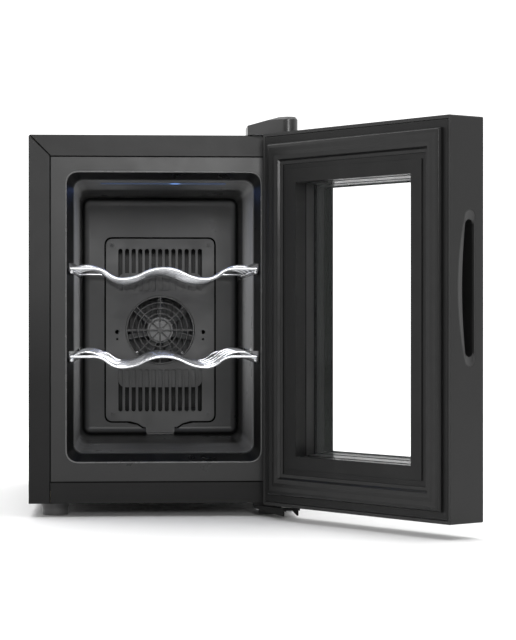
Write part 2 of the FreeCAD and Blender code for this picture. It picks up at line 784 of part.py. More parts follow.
def mains_inlet():
    """Appliance inlet: flange outside the back panel and a socket well behind it."""
    body = new_body("mains_inlet")
    outside = rear - 0.2
    flange = rectangle(inlet_x - 25, inlet_x + 25, inlet_level - 11.5, inlet_level + 11.5, Size(4))
    extrude(body, "XZ_Plane", outside, rear + 1.8, flange)
    shell = rectangle(inlet_x - 13.8, inlet_x + 13.8, inlet_level - 9.8, inlet_level + 9.8, Size(1))
    extrude(body, "XZ_Plane", rear - 22, outside, shell)
    well = rectangle(inlet_x - 12, inlet_x + 12, inlet_level - 8.1, inlet_level + 8.1, Size(1.5))
    pocket(body, "XZ_Plane", rear - 16, rear + 1.8, well)
    screws = together(*(disc(inlet_x + x, inlet_level, Size(1.7)) for x in (-20, 20)))
    pocket(body, "XZ_Plane", outside, rear + 1.8, screws)
    pins = together(*(rectangle(inlet_x + x - 2, inlet_x + x + 2, inlet_level + z - 1, inlet_level + z + 1)
                      for x, z in inlet_pin_places()))
    pocket(body, "XZ_Plane", rear - 22, rear - 16, pins)


def inlet_pin_places():
    return [(-7, 0), (0, 3), (7, 0)]


def inlet_pins():
    """Three flat contact pins."""
    x0, z0, back = float(inlet_x), float(inlet_level), float(rear) - 26
    blades = [Part.makeBox(4, 24, 2, Vector(x0 + x - 2, back, z0 + z - 1)) for x, z in inlet_pin_places()]
    new_shape("inlet_pins", Part.makeCompound(blades))


# ---------------------------------------------------------------- fasteners


def screw(seat, along, length, radius=1.5, head=3, rise=1.8):
    """Cross-head screw whose head stands on the seat and whose shank runs along the direction."""
    shank = Part.makeCylinder(radius, length, seat, along)
    cap = Part.makeCylinder(head, rise, seat, -along)
    side = Vector(0, 0, 1) if abs(along.z) < 0.5 else Vector(1, 0, 0)
    whole = shank.fuse(cap)
    for turn in (0, 90):
        blade = Part.makeBox(head * 1.1, 0.7, rise * 0.6)
        blade.translate(Vector(-head * 0.55, -0.35, rise * 0.4))
        blade.Placement = Placement(seat, Rotation(side.cross(along), side, -along)).multiply(
            Placement(Vector(), Rotation(Vector(0, 0, 1), turn)).multiply(blade.Placement))
        whole = whole.cut(blade)
    return whole


def screw_group(label, seats, along, length, **sizes):
    shapes = [screw(Vector(*(float(v) for v in seat)), along, length, **sizes) for seat in seats]
    new_shape(label, Part.makeCompound(shapes))


def fasteners():
    inward, back, down, up = Vector(0, 1, 0), Vector(0, -1, 0), Vector(0, 0, -1), Vector(0, 0, 1)
    face = cavity_back + 0.2
    cover_seats = [(x, face, z) for x, z in cover_screw_places()]
    screw_group("cover_screws", cover_seats, inward, 9, head=2.6, rise=0.6)
    level = float(fan_level)
    reach = float(module_screw)
    seats = [(sx * reach, 176.8, level + sz * reach) for sx in (-1, 1) for sz in (-1, 1)]
    screw_group("module_screws", seats, back, 32)
    panel = [(x, rear - 0.2, z) for x, z in panel_screws()]
    screw_group("rear_panel_screws", panel, back, 8)
    inlet = [(inlet_x + x, rear + 1.8, inlet_level) for x in (-20, 20)]
    screw_group("inlet_screws", inlet, back, 1.9)
    over = [(x, y, top + hinge_plate) for x, y in plate_screws]
    screw_group("top_hinge_screws", over, down, 12, radius=2, head=3.8, rise=2.2)
    under = [(x, y, bracket_low) for x, y in bracket_screws]
    screw_group("bottom_hinge_screws", under, up, 13, radius=2, head=3.8, rise=2.2)


# ---------------------------------------------------------------- hinges


def top_hinge():
    plate = new_body("top_hinge_plate")
    nose = 6.2
    tip = []
    for turn in (0, -45, -90, -132):
        c, s = math.cos(math.radians(turn)), math.sin(math.radians(turn))
        tip.append((hinge_x + nose * c, hinge_y + nose * s))
    outline = polygon((84, -235), (84, -198.4), (hinge_x + nose, -198.4), *tip)
    extrude(plate, "XY_Plane", top, top + hinge_plate, outline)
    holes = [disc(x, y, Size(2.1)) for x, y in plate_screws]
    pocket(plate, "XY_Plane", top, top + hinge_plate, together(*holes, disc(hinge_x, hinge_y, hinge_pin)))
    pin = doc.addObject("Part::Fuse", "top_hinge_pin")
    pin.Base = round_bar("top_pin_shank", door_high - bush_length + 1, top + hinge_plate, hinge_pin)
    pin.Tool = round_bar("top_pin_head", top + hinge_plate, top + hinge_plate + 2, Size(5))
    keep(pin, "top_hinge_pin")


def round_bar(name, low, high, radius):
    """Upright cylinder on the hinge's axis."""
    bar_shape = doc.addObject("Part::Cylinder", name)
    bind(bar_shape, "Radius", radius)
    bind(bar_shape, "Height", high - low)
    bind(bar_shape, "Placement.Base.x", hinge_x)
    bind(bar_shape, "Placement.Base.y", hinge_y)
    bind(bar_shape, "Placement.Base.z", low)
    return bar_shape


def cover_plan(inset):
    """The top hinge cover's plan: a long arm that meets the round cap over the pin."""
    radius = float(cap_radius) - inset
    x0, y0 = float(hinge_x), float(hinge_y)
    left, back, right = 78 + inset, -196 - inset, x0 + radius
    lean = math.radians(228)
    touch = Vector(x0 + radius * math.cos(lean), y0 + radius * math.sin(lean), 0)
    low = Vector(x0 + radius * math.cos(math.radians(294)), y0 + radius * math.sin(math.radians(294)), 0)
    side = Vector(right, y0, 0)
    slope = Vector(-math.sin(lean), math.cos(lean), 0)
    corner = touch + slope * ((left - touch.x) / slope.x)
    lines = [Part.LineSegment(side, Vector(right, back, 0)),
             Part.LineSegment(Vector(right, back, 0), Vector(left, back, 0)),
             Part.LineSegment(Vector(left, back, 0), corner),
             Part.LineSegment(corner, touch)]
    edges = [line.toShape() for line in lines] + [Part.Arc(touch, low, side).toShape()]
    return Part.Face(Part.Wire(edges))


def top_hinge_cover():
    """Plastic cap over the hinge plate: it falls from the round pin cap to its inner end."""
    z0, rise, edge = float(top), float(cap_height), 2.4
    lower = cover_plan(0).extrude(Vector(0, 0, rise - edge))
    rims = [cover_plan(inset).OuterWire for inset in (0, edge * 0.8)]
    rims[0].translate(Vector(0, 0, rise - edge))
    rims[1].translate(Vector(0, 0, rise))
    solid = lower.fuse(Part.makeLoft(rims, True, True))
    solid.translate(Vector(0, 0, z0))
    left, high, ramp_end = 73, z0 + rise, float(hinge_x) - float(cap_radius)
    corners = ((left, high - 7.2), (ramp_end, high), (left, high + 5), (left, high - 7.2))
    ramp = Part.Face(Part.makePolygon([Vector(x, -300, z) for x, z in corners]))
    solid = solid.cut(ramp.extrude(Vector(0, 150, 0)))
    room = cover_plan(1.8).extrude(Vector(0, 0, 6.4))
    room.translate(Vector(0, 0, z0))
    new_shape("top_hinge_cover", solid.cut(room))


def bottom_hinge():
    """Bracket under the cabinet's front corner, its lip and stop, the lower pin and a washer."""
    body = doc.addObject("PartDesign::Body", "bracket_plate")
    high = bracket_low + bracket_plate
    outline = polygon(
        (84, -214.5), (125, -214.5), (125, -262), (122, -264), (109, -264), (84, -232),
    )
    extrude(body, "XY_Plane", bracket_low, high, outline)
    extrude(body, "XY_Plane", high, base, rectangle(84, 125, -228.8, -214.5))
    along_edge = Rotation(Vector(0, 0, 1), math.degrees(math.atan2(-32, 25)))
    length = math.hypot(25, 32)
    lip = Part.Face(Part.makePolygon([Vector(x, 0, z) for x, z in (
        (0, 0), (length, 0), (length, -5.3), (length - 2, -5.3), (length * 0.5, -3), (0, 0))]))
    lip = lip.extrude(Vector(0, 2, 0))
    lip.Placement = Placement(Vector(84, -232, float(bracket_low) + 0.1), along_edge)
    stop = Part.Face(Part.makePolygon([Vector(x, -264, z) for x, z in (
        (117.5, 8), (123.5, 8), (123.5, 3.4), (122, 3.4), (117.5, 8))]))
    stop = stop.extrude(Vector(0, 2, 0))
    fused = doc.addObject("Part::MultiFuse", "bottom_hinge_bracket_whole")
    turned = []
    for name, shape in (("bracket_lip", lip), ("bracket_stop", stop)):
        feature = doc.addObject("Part::Feature", name)
        feature.Shape = shape
        turned.append(feature)
    fused.Shapes = [body, *turned]
    holes = [round_bar("bracket_pin_hole", bracket_low - 1, base + 1, hinge_pin)]
    for n, (x, y) in enumerate(bracket_screws):
        hole = doc.addObject("Part::Cylinder", f"bracket_screw_hole_{n}")
        hole.Radius = 2.1
        hole.Height = 8
        hole.Placement.Base = Vector(x, y, float(bracket_low) - 1)
        holes.append(hole)
    drills = doc.addObject("Part::Compound", "bracket_holes")
    drills.Links = holes
    cut = doc.addObject("Part::Cut", "bottom_hinge_bracket_cut")
    cut.Base = fused
    cut.Tool = drills
    keep(cut, "bottom_hinge_bracket")
    pin = doc.addObject("Part::Fuse", "bottom_hinge_pin_whole")
    pin.Base = round_bar("bottom_pin_shank", bracket_low, door_low + bush_length - 1, hinge_pin)
    pin.Tool = round_bar("bottom_pin_head", bracket_low - 1.5, bracket_low, Size(4.5))
    keep(pin, "bottom_hinge_pin")
    washer = doc.addObject("Part::Cut", "hinge_washer_whole")
    washer.Base = round_bar("washer_disc", high, door_low - 0.35, Size(6.5))
    washer.Tool = round_bar("washer_hole", high, door_low - 0.35, hinge_pin + 0.1)
    keep(washer, "hinge_washer")


# ---------------------------------------------------------------- door, drawn closed


def bow_outline(setback, wide, tall, cap, level):
    """Draws a bow: straight towards the door's front, curved towards its inner side."""
    straight = outer_face + setback
    reach = tall - cap
    span = wide - cap
    radius = (span * span + reach * reach - cap * cap) / ((wide - cap * 2) * 2)

    def draw(sketch):
        y0, c, r = float(straight), float(cap), float(radius)
        z0, zc = float(level), float(reach)
        centre_y = y0 + float(wide) - r
        lean = math.atan2(zc, y0 + c - centre_y)
        normal = Vector(0, 0, 1)
        caps = [Part.Circle(Vector(y0 + c, z0 + s * zc, 0), normal, c) for s in (1, -1)]
        bow = Part.Circle(Vector(centre_y, z0, 0), normal, r)
        curves = [
            Part.LineSegment(Vector(y0, z0 + zc, 0), Vector(y0, z0 - zc, 0)),
            Part.ArcOfCircle(caps[1], math.pi, 2 * math.pi - lean),
            Part.ArcOfCircle(bow, -lean, lean),
            Part.ArcOfCircle(caps[0], lean, math.pi),
        ]
        outline = Outline(sketch, curves)
        first = outline.first
        for a, b in ((0, 1), (1, 2), (2, 3), (3, 0)):
            outline.hold("Tangent", first + a, 2, first + b, 1)
        outline.pin(0, 1, straight, level + reach)
        outline.pin(0, 2, straight, level - reach)
        for curve, size in ((1, cap), (3, cap), (2, radius)):
            outline.hold("Radius", first + curve, as_size(size))
        outline.finish()

    return draw


def scoop_outline(shrink=0):
    return bow_outline(scoop_front + shrink, scoop_width - 2 * shrink, scoop_half - shrink,
                       scoop_cap - shrink, handle_level)


def slot_outline():
    return bow_outline(scoop_front + 1, slot_bow_width, slot_half, slot_cap, handle_level)


def pack_outline(inset=0):
    """The edge of the glass pack, or a line inset from it."""
    reach = window_half + glass_overlap - inset
    return rectangle(-reach, reach, window_low - glass_overlap + inset, window_high + glass_overlap - inset)


def window_outline(grow=0):
    reach = window_half + grow
    return rectangle(-reach, reach, window_low - grow, window_high + grow)


def door_outline(inset):
    return frame_outline(half, door_low, door_high, as_size(inset))


def door_outer_frame():
    """Hollow moulded frame around the glass, with the hinge bosses and the handle's opening."""
    body = new_body("door_outer_frame")
    shell = frame_outline(half, door_low, door_high, Size(0), Size(1.5))
    extrude(body, "XZ_Plane", outer_face, inner_face, shell)
    pocket(body, "XZ_Plane", outer_face, glass_back, door_outline(2.4))
    pocket(body, "XZ_Plane", glass_back, inner_face, pack_outline(-0.3))
    web = glass_back + door_wall
    lid = inner_face - door_wall
    hollow = together(door_outline(door_wall), pack_outline(-0.3 - door_wall))
    pocket(body, "XZ_Plane", web, lid, hollow)
    pocket(body, "XZ_Plane", lid, inner_face, door_outline(door_rim))
    boss = rectangle(hinge_x - 9, half - 2, web - 0.5, lid - 2)
    boss_length = bush_length + 6
    extrude(body, "XY_Plane", door_low + 1, door_low + boss_length, boss)
    extrude(body, "XY_Plane", door_high - boss_length, door_high - 1, boss)
    seat = disc(hinge_x, hinge_y, bush_radius)
    pocket(body, "XY_Plane", door_low, door_low + bush_length, seat)
    pocket(body, "XY_Plane", door_high - bush_length, door_high, seat)
    pocket(body, "YZ_Plane", -half, door_wall - half, scoop_outline())
    pocket(body, "XZ_Plane", glass_back, web, rectangle(-13, 13, 331, 343))


def door_inner_frame():
    """Moulded inner frame: flat face, gasket step and the deep lip around the window."""
    body = new_body("door_inner_frame")
    lid = inner_face - door_wall
    rim = door_outline(door_rim + 0.5)
    extrude(body, "XZ_Plane", lid + 0.05, inner_face, together(rim, window_outline()))
    lip = together(window_outline(2.5), window_outline())
    extrude(body, "XZ_Plane", inner_face - 10.4, inner_face, lip)
    step = together(door_outline(35), window_outline())
    extrude(body, "XZ_Plane", inner_face, inner_face + 1, step)


def glass_pack():
    """Three panes held apart by two spacer frames."""
    first = inner_face - 10.5
    second = first - pane_inner - gap_inner
    third = second - pane_middle
    front_pane = new_body("front_glass")
    extrude(front_pane, "XZ_Plane", outer_face, glass_back, door_outline(2.6))
    middle = new_body("middle_glass")
    extrude(middle, "XZ_Plane", third, second, pack_outline())
    inner = new_body("inner_glass")
    extrude(inner, "XZ_Plane", first - pane_inner, first, pack_outline())
    ring = together(pack_outline(0.6), pack_outline(7))
    outer_spacer = new_body("outer_spacer")
    extrude(outer_spacer, "XZ_Plane", glass_back, third, ring)
    inner_spacer = new_body("inner_spacer")
    extrude(inner_spacer, "XZ_Plane", second, first - pane_inner, ring)


def door_gasket():
    """Soft magnetic seal: wide base, raised bellows and a channel for the magnets."""
    body = new_body("door_gasket")
    base_ring = together(door_outline(gasket_inset), door_outline(gasket_inset + gasket_width))
    extrude(body, "XZ_Plane", inner_face, inner_face + 1.8, base_ring)
    bellows = together(door_outline(gasket_inset + 2), door_outline(gasket_inset + 15))
    extrude(body, "XZ_Plane", inner_face, inner_face + gasket_proud, bellows)
    channel = together(door_outline(gasket_inset + 4), door_outline(gasket_inset + 13))
    pocket(body, "XZ_Plane", inner_face, inner_face + 3, channel)


def gasket_magnets():
    """Four magnet strips in the gasket's channel."""
    inset, across, thick = float(gasket_inset) + 4.5, 8, 2.5
    left = -float(half) + inset
    low, high = float(door_low) + inset, float(door_high) - inset
    y0 = float(inner_face) + 0.2
    upright = high - low - 2 * across - 4
    level = -2 * left
    start = low + across + 2
    bars = [Part.makeBox(across, thick, upright, Vector(x, y0, start)) for x in (left, -left - across)]
    bars += [Part.makeBox(level, thick, across, Vector(left, y0, z)) for z in (low, high - across)]
    return new_shape("gasket_magnets", Part.makeCompound(bars))


def handle_liner():
    """Dark cup in the free edge: a shallow bevelled scoop that leads into the finger slot."""
    body = new_body("handle_liner")
    start = -half
    slot_start = start + 1.5
    extrude(body, "YZ_Plane", start + 0.1, start + handle_depth, scoop_outline(0.15))
    sections = []
    for level, draw in ((start + 0.1, scoop_outline(0.9)), (slot_start, slot_outline())):
        sketch = sketch_on(body, "YZ_Plane", level)
        draw(sketch)
        sections.append(sketch)
    bevel = body.newObject("PartDesign::SubtractiveLoft", "handle_bevel")
    bevel.Profile = sections[0]
    bevel.Sections = sections[1:]
    pocket(body, "YZ_Plane", slot_start, start + handle_depth - 1.5, slot_outline())


def door_controls():
    """Touch board and its small display, behind the dark band above the window."""
    board = new_body("control_board")
    web = glass_back + door_wall
    extrude(board, "XZ_Plane", web + 0.8, web + 2.4, rectangle(-45, 45, 326, 348))
    display = new_body("control_display")
    extrude(display, "XZ_Plane", glass_back + 0.2, web + 0.7, rectangle(-12, 12, 332, 342))


def hinge_bushes():
    spans = {"top": (door_high - bush_length, door_high), "bottom": (door_low, door_low + bush_length)}
    for place, (low, high) in spans.items():
        bush = doc.addObject("Part::Cut", place + "_hinge_bush_whole")
        bush.Base = round_bar(place + "_bush_outside", low, high, bush_radius)
        bush.Tool = round_bar(place + "_bush_bore", low, high, hinge_pin + shaft_clearance)
        keep(bush, place + "_hinge_bush")


def swing_door(leaves):
    """Turn the door's pieces about the hinge's axis from closed to where the door stands."""
    pivot = Vector(float(hinge_x), float(hinge_y), 0)
    turn = Placement(Vector(), Rotation(Vector(0, 0, 1), float(door_angle)), pivot)
    for leaf in leaves:
        leaf.Placement = turn.multiply(leaf.Placement)


# ---------------------------------------------------------------- shelves


def half_wave(start, end):
    """Two equal arcs that run level at both ends and meet on a common tangent."""
    dx, dz = end.x - start.x, end.z - start.z
    radius = (dx**2 + dz**2) / (4 * abs(dz))
    turn = math.asin(abs(dx) / 2 / radius)
    side, rise = math.copysign(1, dx), math.copysign(1, dz)
    arcs = []
    for point, s, r in ((start, side, rise), (end, -side, -rise)):
        quarter = Vector(point.x + s * radius * math.sin(turn / 2), point.y,
                         point.z + r * radius * (1 - math.cos(turn / 2)))
        middle = (start + end) / 2
        order = (point, quarter, middle) if point is start else (middle, quarter, point)
        arcs.append(Part.Arc(*order).toShape())
    return arcs


def wave_wire(along, level, crested):
    """One shelf wire: two bottle valleys, with level ends or ends that crest beside the rods."""
    depth_z = level - float(valley_depth)
    valley, peak = float(valley_x), Vector(0, along, level)
    dip = Vector(-valley, along, depth_z)
    edges = []
    if crested:
        reach = float(rod_x)
        crest = Vector(-float(crest_x), along, level + float(crest_rise))
        run, fall = reach - float(crest_x), float(crest_rise)
        radius = (run**2 + fall**2) / (2 * fall)
        turn = math.asin(run / radius) / 2
        halfway = Vector(crest.x - radius * math.sin(turn), along, crest.z - radius * (1 - math.cos(turn)))
        edges.append(Part.Arc(Vector(-reach, along, level), halfway, crest).toShape())
        edges += half_wave(crest, dip)
    else:
        flat = Vector(-float(flat_start), along, level)
        edges.append(Part.LineSegment(Vector(-float(shelf_half_width), along, level), flat).toShape())
        edges += half_wave(flat, dip)
    edges += half_wave(dip, peak)
    left = Part.Wire(edges)
    start = left.OrderedVertexes[0].Point
    tangent = edges[0].tangentAt(edges[0].FirstParameter)
    circle = Part.Wire(Part.makeCircle(float(wire_radius), start, tangent))
    side = left.makePipeShell([circle], True, False)
    whole = side.fuse(side.mirror(Vector(), Vector(1, 0, 0)))
    for x in (start.x, -start.x):
        whole = whole.fuse(Part.makeSphere(float(wire_radius), Vector(x, along, start.z)))
    return whole


def shelf(place, level):
    """Chromed wire shelf: wave wires welded across two side rods."""
    start, length = float(shelf_front), float(shelf_length)
    rods = []
    for x in (-float(rod_x), float(rod_x)):
        first = Vector(x, start - 2, float(level - rod_drop))
        last = first + Vector(0, length + 4, 0)
        bar_shape = rod(first, last, float(rod_radius))
        for end in (first, last):
            bar_shape = bar_shape.fuse(Part.makeSphere(float(rod_radius), end))
        rods.append(bar_shape)
    new_shape(place + "_shelf_rods", Part.makeCompound(rods))
    step = length / (wires_in_shelf - 1)
    wires = []
    for n in range(wires_in_shelf):
        crested = 0 < n < wires_in_shelf - 1
        wires.append(wave_wire(start + n * step, float(level), crested))
    new_shape(place + "_shelf_wires", Part.makeCompound(wires))


# ---------------------------------------------------------------- assembly


def build():
    outer_wrap()
    base_pan()
    rear_panel()
    inner_liner()
    foam_insulation()
    for place, centre in feet.items():
        foot(place, centre)
    fan_cover()
    inner_fan_guard()
    fan_frame("inner_fan_frame", Size(104.5), Size(124.5), (91, 124), 38, 15)
    fan_rotor("inner_fan_rotor", 106.5, 121.5, 14, 36.5, 7, 124)
    heat_sink("cold_sink", Size(143), Size(146.7), Size(127), Size(143), 88, 16, 2)
    module_block("cold_block", Size(146.7), Size(168))
    module_block("thermoelectric_module", Size(168), Size(171.8))
    module_seal()
    heat_sink("hot_sink", Size(171.8), Size(176.8), Size(176.8), Size(200), 120, 25, 3.6)
    fan_frame("hot_fan_frame", Size(201), Size(226), (92, 92), 43.5, 18)
    fan_rotor("hot_fan_rotor", 203, 222.5, 17, 42, 7, 225.5)
    light_lens()
    led_board()
    temperature_sensor()
    power_supply()
    mains_inlet()
    inlet_pins()
    fasteners()
    top_hinge()
    top_hinge_cover()
    bottom_hinge()
    for place, level in shelf_levels.items():
        shelf(place, level)
    fixed = len(pieces)
    door_outer_frame()
    door_inner_frame()
    glass_pack()
    door_gasket()
    gasket_magnets()
    handle_liner()
    door_controls()
    hinge_bushes()
    doc.recompute()
    swing_door(pieces[fixed:])
    doc.recompute()


def check_and_write():
    """Stop on any failed object or bad shape, then write one file for each sub-part."""
    for thing in doc.Objects:
        for state in ("Invalid", "Error"):
            if state in thing.State:
                raise RuntimeError(f"{thing.Label} is {thing.State}")
    for piece in pieces:
        if piece.Shape.isNull() or not piece.Shape.isValid() or not piece.Shape.Solids:
            raise RuntimeError(f"{piece.Label} has no valid solid")
        piece.Shape.exportStep(f"parts/{piece.Label}.step")
        print(f"{piece.Label}: {len(piece.Shape.Solids)} solids, {piece.Shape.Volume / 1000:.1f} cm3")


build()
check_and_write()
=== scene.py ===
import json
import math

import bmesh
import bpy
from mathutils import Matrix, Vector


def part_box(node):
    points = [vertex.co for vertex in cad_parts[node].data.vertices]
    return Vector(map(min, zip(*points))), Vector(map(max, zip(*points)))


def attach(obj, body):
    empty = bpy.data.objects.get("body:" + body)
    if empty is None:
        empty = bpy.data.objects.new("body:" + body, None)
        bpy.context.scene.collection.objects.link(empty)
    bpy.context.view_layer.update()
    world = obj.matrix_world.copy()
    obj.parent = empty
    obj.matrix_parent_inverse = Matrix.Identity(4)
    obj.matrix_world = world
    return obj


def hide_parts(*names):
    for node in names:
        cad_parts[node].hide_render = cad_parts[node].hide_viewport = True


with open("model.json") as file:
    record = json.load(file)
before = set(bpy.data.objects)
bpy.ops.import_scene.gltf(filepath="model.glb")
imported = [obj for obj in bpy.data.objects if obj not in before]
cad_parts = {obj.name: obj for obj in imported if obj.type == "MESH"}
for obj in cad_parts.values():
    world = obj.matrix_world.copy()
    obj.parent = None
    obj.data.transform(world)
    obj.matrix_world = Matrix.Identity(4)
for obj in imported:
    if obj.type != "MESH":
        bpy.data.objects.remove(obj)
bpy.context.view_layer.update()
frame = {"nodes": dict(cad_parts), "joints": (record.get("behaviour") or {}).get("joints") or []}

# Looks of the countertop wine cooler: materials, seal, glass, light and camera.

NODES = frame["nodes"]
JOINTS = {joint["name"]: joint for joint in frame["joints"]}
MM = 0.001
AXIS_X, AXIS_Y, AXIS_Z = (1, 0, 0), (0, 1, 0), (0, 0, 1)

HINGE = Vector(JOINTS["door_hinge"]["pos_m"])
DOOR_OPEN = math.radians(-min(JOINTS["door_hinge"]["range_deg"]))
TO_OPEN = (
    Matrix.Translation(HINGE) @ Matrix.Rotation(DOOR_OPEN, 4, "Z") @ Matrix.Translation(-HINGE)
)

wrap_low, wrap_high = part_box("outer_wrap")
HALF_WIDTH = wrap_high.x
EDGE_WAY = (-math.cos(DOOR_OPEN), -math.sin(DOOR_OPEN), 0)
FAN_AXIS = Vector(JOINTS["inner_fan_spin"]["pos_m"])
FRONT = wrap_low.y
TOP = wrap_high.z
DOOR_LOW, DOOR_HIGH = (corner.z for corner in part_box("door_outer_frame"))
BAR = 20 * MM

# The door while shut: its inner face, and each pane as near and far depths behind that face.
INNER_FACE = FRONT - 5 * MM
INNER_PANE = (10.5 * MM, 12.8 * MM)
MIDDLE_PANE = (22.4 * MM, 25.4 * MM)
FRONT_PANE = (34.2 * MM, 37.4 * MM)

# The window: half its width, its low and high edges, and how far the print reaches over it.
WINDOW = (77.5 * MM, 60.2 * MM, 308.7 * MM)
PRINT_SIDE = 10.8 * MM
PRINT_END = 4.4 * MM
PRINT_DEPTH = 0.12 * MM
GASKET_INSET = 10 * MM

COVER_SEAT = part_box("fan_cover")[1].y - 2.7 * MM

# How bright the studio is behind the cabinet, and on the side that its front faces.
SWEEP = 1.3
FRONT_WALL = 0.15


# ---------------------------------------------------------------- material tools


class Paint:
    """A node material with a Principled shader and short ways to add detail to it."""

    def __init__(self, name, colour, roughness, **sockets):
        self.material = bpy.data.materials.new(name)
        self.material.use_nodes = True
        self.tree = self.material.node_tree
        self.shader = self.tree.nodes["Principled BSDF"]
        self.set("Base Color", (*colour, 1))
        self.set("Roughness", roughness)
        for socket, value in sockets.items():
            self.set(socket.replace("_", " "), value)
        coordinates = self.node("ShaderNodeTexCoord")
        self.places = coordinates.outputs["Object"]
        self.facing = coordinates.outputs["Normal"]
        self.normal = None

    def set(self, socket, value):
        self.shader.inputs[socket].default_value = value

    def node(self, kind, **settings):
        node = self.tree.nodes.new(kind)
        for key, value in settings.items():
            setattr(node, key, value)
        return node

    def link(self, output, target):
        self.tree.links.new(output, target)

    def noise(self, scale, detail=4, stretch=None):
        """Noise over the object, with an optional stretch along its axes."""
        noise = self.node("ShaderNodeTexNoise")
        noise.inputs["Scale"].default_value = scale
        noise.inputs["Detail"].default_value = detail
        if stretch:
            mapping = self.node("ShaderNodeMapping")
            mapping.inputs["Scale"].default_value = stretch
            self.link(self.places, mapping.inputs["Vector"])
            self.link(mapping.outputs["Vector"], noise.inputs["Vector"])
        else:
            self.link(self.places, noise.inputs["Vector"])
        return noise.outputs["Fac"]

    def blend_values(self, mask, low, high, socket):
        """Send a mask, spread between two numbers, to one of the shader's sockets."""
        spread = self.node("ShaderNodeMapRange")
        spread.inputs["From Min"].default_value = 0.3
        spread.inputs["From Max"].default_value = 0.7
        spread.inputs["To Min"].default_value = low
        spread.inputs["To Max"].default_value = high
        self.link(mask, spread.inputs["Value"])
        self.link(spread.outputs["Result"], self.shader.inputs[socket])

    def mix(self, mask, first, second):
        """Mix two colours, or a colour and another mix, by a mask."""
        mix = self.node("ShaderNodeMix", data_type="RGBA")
        for socket, colour in (("A", first), ("B", second)):
            if isinstance(colour, tuple):
                mix.inputs[socket].default_value = (*colour, 1)
            else:
                self.link(colour, mix.inputs[socket])
        self.link(mask, mix.inputs["Factor"])
        return mix.outputs["Result"]

    def blend_colours(self, mask, first, second):
        """Vary the base colour between two shades."""
        self.link(self.mix(mask, first, second), self.shader.inputs["Base Color"])

    def ramp(self, value, start, end):
        """A mask that rises smoothly from 0 to 1 as a value goes from start to end."""
        ramp = self.node("ShaderNodeMapRange", interpolation_type="SMOOTHSTEP")
        ramp.inputs["From Min"].default_value = start
        ramp.inputs["From Max"].default_value = end
        self.link(value, ramp.inputs["Value"])
        return ramp.outputs["Result"]

    def along(self, direction, start, end):
        """A mask that rises from 0 to 1 between two places along a direction."""
        reach = self.node("ShaderNodeVectorMath", operation="DOT_PRODUCT")
        self.link(self.places, reach.inputs[0])
        reach.inputs[1].default_value = direction
        return self.ramp(reach.outputs["Value"], start, end)

    def around(self, centre, near, far):
        """A mask that is 0 within a distance of an axis along Y, and 1 beyond another."""
        flat = self.node("ShaderNodeVectorMath", operation="MULTIPLY")
        self.link(self.places, flat.inputs[0])
        flat.inputs[1].default_value = (1, 0, 1)
        reach = self.node("ShaderNodeVectorMath", operation="DISTANCE")
        self.link(flat.outputs["Vector"], reach.inputs[0])
        reach.inputs[1].default_value = (centre.x, 0, centre.z)
        return self.ramp(reach.outputs["Value"], near, far)

    def facing_along(self, axis):
        """A mask that is 1 on surfaces that face either way along an axis."""
        tilt = self.node("ShaderNodeVectorMath", operation="DOT_PRODUCT")
        self.link(self.facing, tilt.inputs[0])
        tilt.inputs[1].default_value = axis
        size = self.node("ShaderNodeMath", operation="ABSOLUTE")
        self.link(tilt.outputs["Value"], size.inputs[0])
        return self.ramp(size.outputs["Value"], 0.6, 0.95)

    def bump(self, height, strength, distance):
        """Add a height map on top of what the surface has already."""
        bump = self.node("ShaderNodeBump")
        bump.inputs["Strength"].default_value = strength
        bump.inputs["Distance"].default_value = distance
        self.link(height, bump.inputs["Height"])
        if self.normal:
            self.link(self.normal, bump.inputs["Normal"])
        self.normal = bump.outputs["Normal"]
        self.link(self.normal, self.shader.inputs["Normal"])

    def soft_edges(self, radius):
        """Round the shading of hard edges by a small radius."""
        bevel = self.node("ShaderNodeBevel", samples=6)
        bevel.inputs["Radius"].default_value = radius
        self.normal = bevel.outputs["Normal"]
        self.link(self.normal, self.shader.inputs["Normal"])


def shade(grey):
    """A neutral colour from one level of grey."""
    return (grey, grey, grey)


# ---------------------------------------------------------------- materials


def powder_coat():
    """Satin black powder coat with a fine orange peel, a little glossier towards the top."""
    paint = Paint("powder_coat", shade(0.01), 0.4)
    paint.soft_edges(0.6 * MM)
    paint.blend_colours(paint.noise(9), shade(0.0092), shade(0.0106))
    paint.blend_values(paint.along(AXIS_Z, 0, TOP), 0.14, 0.27, "Specular IOR Level")
    paint.blend_values(paint.noise(60), 0.4, 0.43, "Roughness")
    paint.bump(paint.noise(1400, 3), 0.25, 0.06 * MM)
    return paint.material


def moulded_black(name, grey, roughness, grain=1800, depth=0.04, gloss=0.5):
    """Moulded plastic with a fine spark-eroded grain and slightly uneven gloss."""
    paint = Paint(name, shade(grey), roughness, Specular_IOR_Level=gloss)
    paint.soft_edges(0.5 * MM)
    paint.blend_colours(paint.noise(14), shade(grey * 0.88), shade(grey * 1.14))
    paint.blend_values(paint.noise(38), roughness - 0.05, roughness + 0.06, "Roughness")
    paint.bump(paint.noise(grain, 2), 0.3, depth * MM)
    return paint.material


